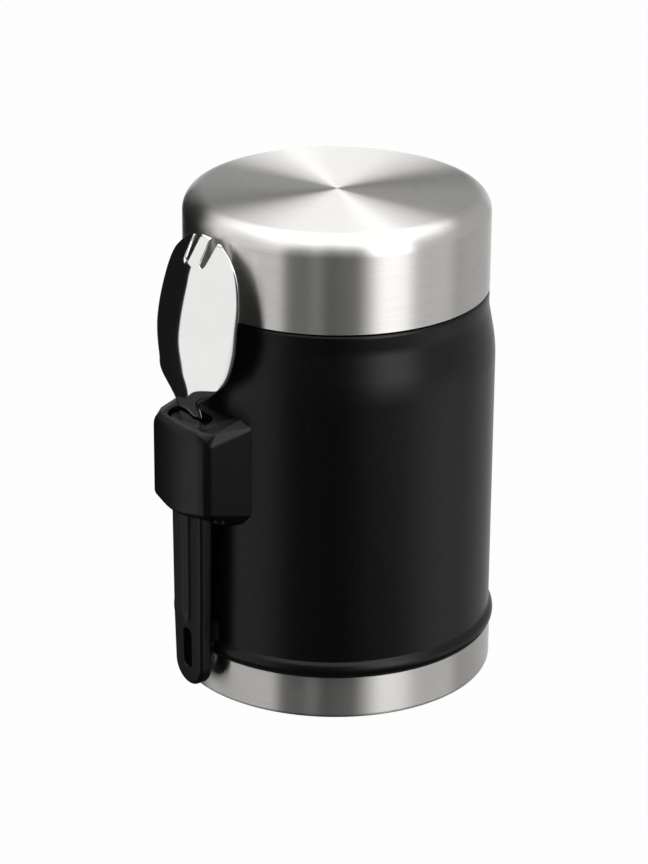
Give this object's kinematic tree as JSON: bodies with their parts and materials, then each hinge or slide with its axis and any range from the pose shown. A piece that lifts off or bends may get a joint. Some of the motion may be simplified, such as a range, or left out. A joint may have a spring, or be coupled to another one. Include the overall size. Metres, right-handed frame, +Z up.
{
  "type": "insulated food jar",
  "caption": "Double-walled steel food jar with a screw-off insulated lid, and a steel spork that hangs by its handle in a moulded holder on the jar's side.",
  "frame": {"origin": "middle of the face that the jar stands on, on the jar's axis", "axes": "+Z up along the jar's axis; the holder and the spork stand out towards -Y"},
  "size_m": [0.0944, 0.1072, 0.1444],
  "materials": {
    "black_coating": "satin powder coat with very fine sparkle",
    "brushed_steel": "brushed stainless steel: round the axis on the walls, in circles on the lid's top",
    "vessel_steel": "drawn stainless steel, satin",
    "polished_steel": "mirror-polished stainless steel",
    "black_moulding": "fine moulded texture, soft sheen",
    "lid_moulding": "smooth polypropylene",
    "silicone": "translucent grey silicone rubber",
    "pad_rubber": "matt non-slip rubber",
    "foam": "rigid polyurethane foam",
    "foil": "thin bright foil",
    "getter_alloy": "pressed grey metal powder",
    "sealing_glass": "fused sealing glass",
    "zinc_steel": "plain steel"
  },
  "bodies": {
    "jar": {"outer_shell": "black_coating", "base_cup": "brushed_steel", "base_pad": "pad_rubber", "evacuation_seal": "sealing_glass", "getter": "getter_alloy", "getter_clip": "zinc_steel", "inner_vessel": "vessel_steel", "inner_bottom": "vessel_steel", "radiation_foil": "foil", "holder_bracket": "zinc_steel", "holder_screws": "zinc_steel", "spork_holder": "black_moulding"},
    "seal": {"lid_seal": "silicone"},
    "lid": {"lid_shell": "brushed_steel", "lid_liner": "lid_moulding", "lid_plug": "lid_moulding", "lid_foam": "foam"},
    "spork": {"spork_head": "polished_steel", "spork_handle": "black_moulding"}
  },
  "joints": [
    {"name": "lid_lift", "type": "slide", "parent": "jar", "child": "seal", "axis": [0, 0, 1], "range_m": [0, 0.0421]},
    {"name": "lid_turn", "type": "hinge", "parent": "seal", "child": "lid", "pos_m": [0, 0, 0], "axis": [0, 0, 1], "range_deg": [0, 1260]},
    {"name": "spork_lift", "type": "slide", "parent": "jar", "child": "spork", "axis": [0, 0, 1], "range_m": [0, 0.1]}
  ],
  "couplings": [
    {"joint": "lid_lift", "follows": "lid_turn", "m_per_rad": 0.0019099}
  ]
}
